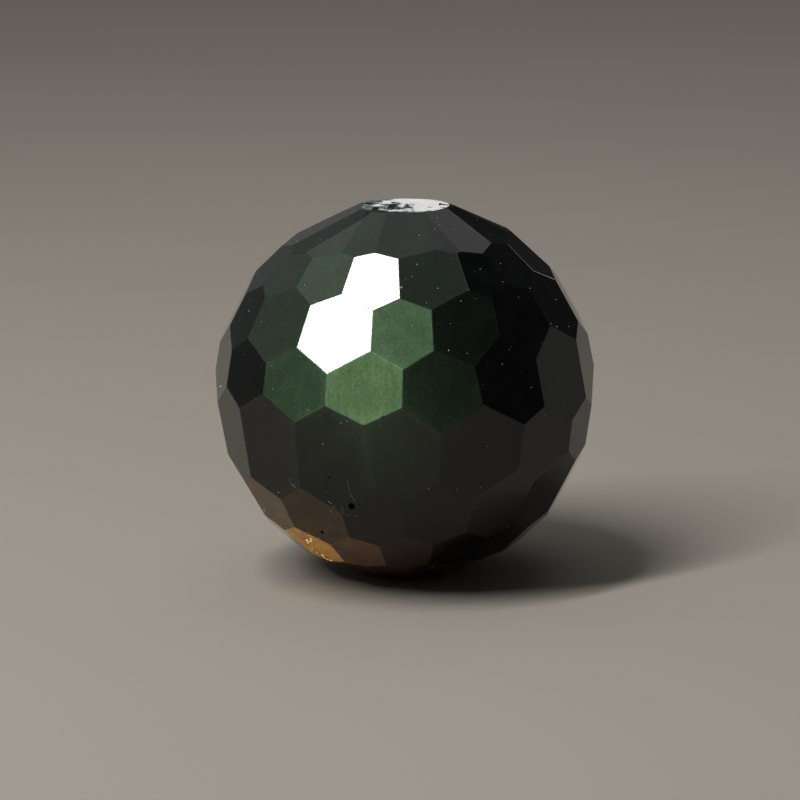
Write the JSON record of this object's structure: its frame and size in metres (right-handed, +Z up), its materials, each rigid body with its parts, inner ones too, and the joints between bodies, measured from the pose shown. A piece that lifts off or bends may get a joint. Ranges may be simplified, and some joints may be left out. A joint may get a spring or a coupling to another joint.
{
  "type": "faceted bead",
  "caption": "Round obsidian bead, faceted all over in staggered rows, with a flat and a drill hole at each pole.",
  "frame": {"origin": "middle of the lower pole flat that the bead stands on", "axes": "+Z up along the drill hole, -Y towards the viewer of the picture, +X to its right"},
  "size_m": [0.012, 0.012, 0.0116],
  "materials": {
    "obsidian": "polished black volcanic glass with a green sheen"
  },
  "bodies": {
    "root": {"bead": "obsidian"}
  },
  "joints": []
}
